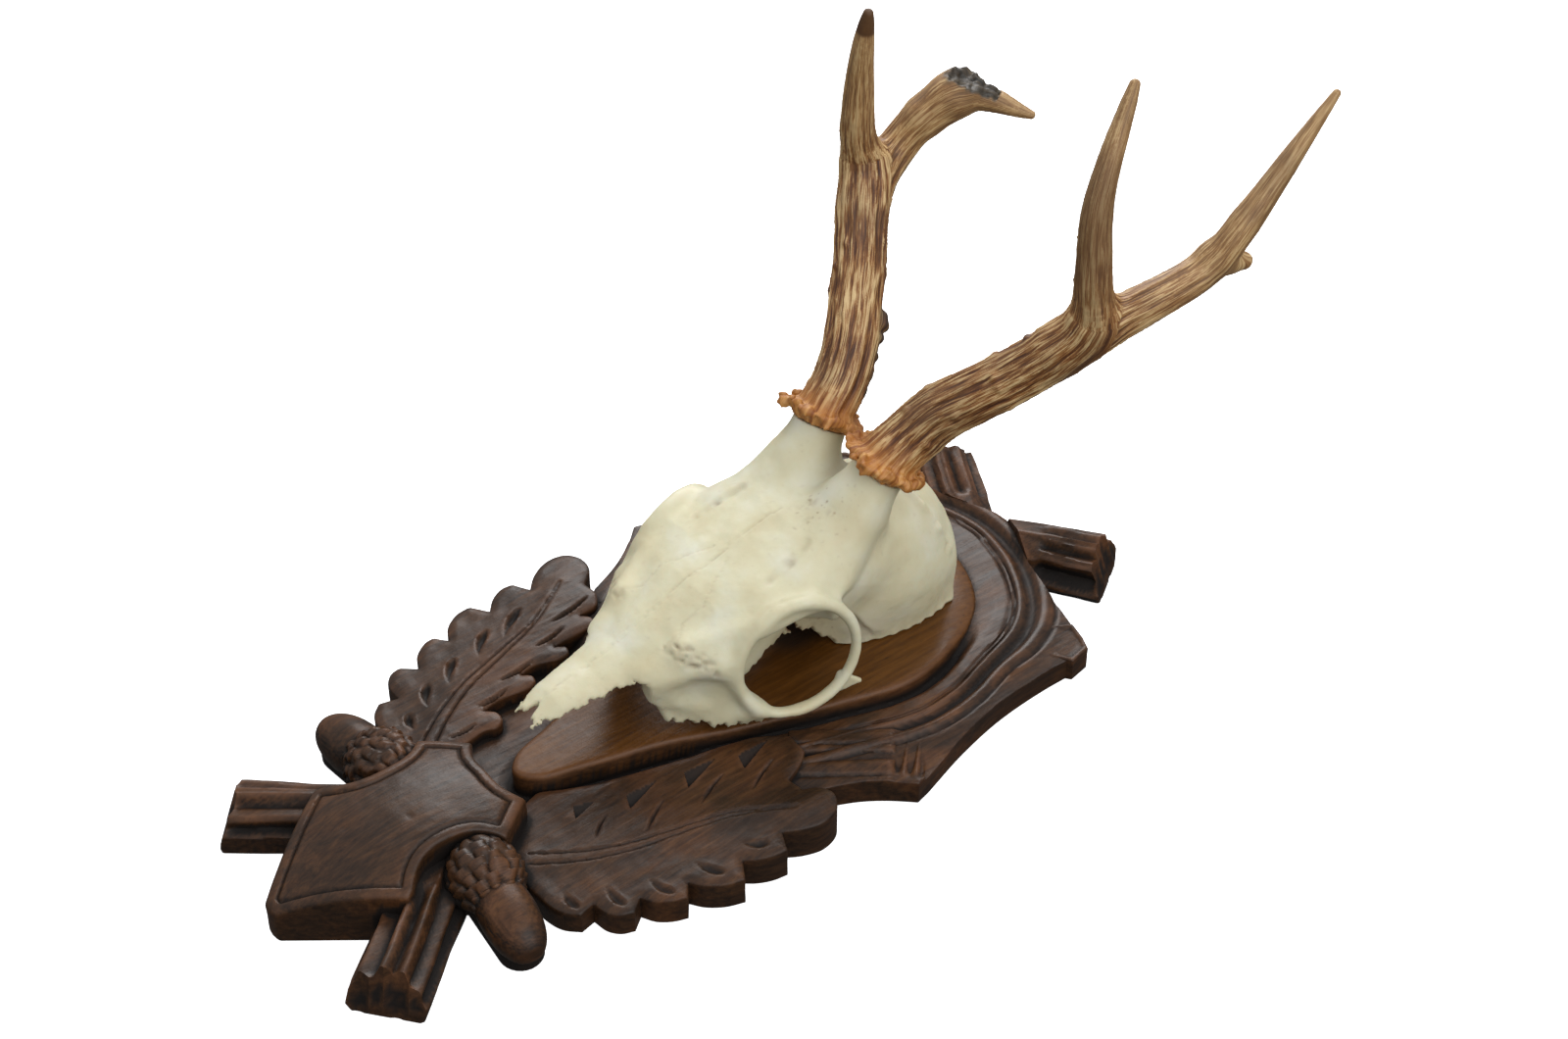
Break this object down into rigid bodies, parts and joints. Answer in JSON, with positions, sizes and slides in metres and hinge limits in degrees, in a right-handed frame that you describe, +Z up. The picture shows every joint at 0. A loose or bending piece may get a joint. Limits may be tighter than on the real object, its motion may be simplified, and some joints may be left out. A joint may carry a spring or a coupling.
{
  "type": "antler mounting plaque",
  "caption": "Carved oak-leaf wall plaque in dark stained wood carrying a cut roe buck skull with its antlers.",
  "frame": {"origin": "on the flat back of the board, behind the middle of the raised pad", "axes": "+X to the viewer's right, +Z up the wall, -Y out of the wall towards the viewer; the back lies in the plane y = 0"},
  "size_m": [0.1766, 0.239, 0.3896],
  "materials": {
    "stained_wood": "dark walnut stain, satin, worn paler on raised edges",
    "bleached_bone": "matt bleached bone",
    "antler_horn": "brown ridged antler with paler tips, satin"
  },
  "bodies": {
    "root": {"carved_plaque": "stained_wood", "skull": "bleached_bone", "antler_left": "antler_horn", "antler_right": "antler_horn"}
  },
  "joints": []
}
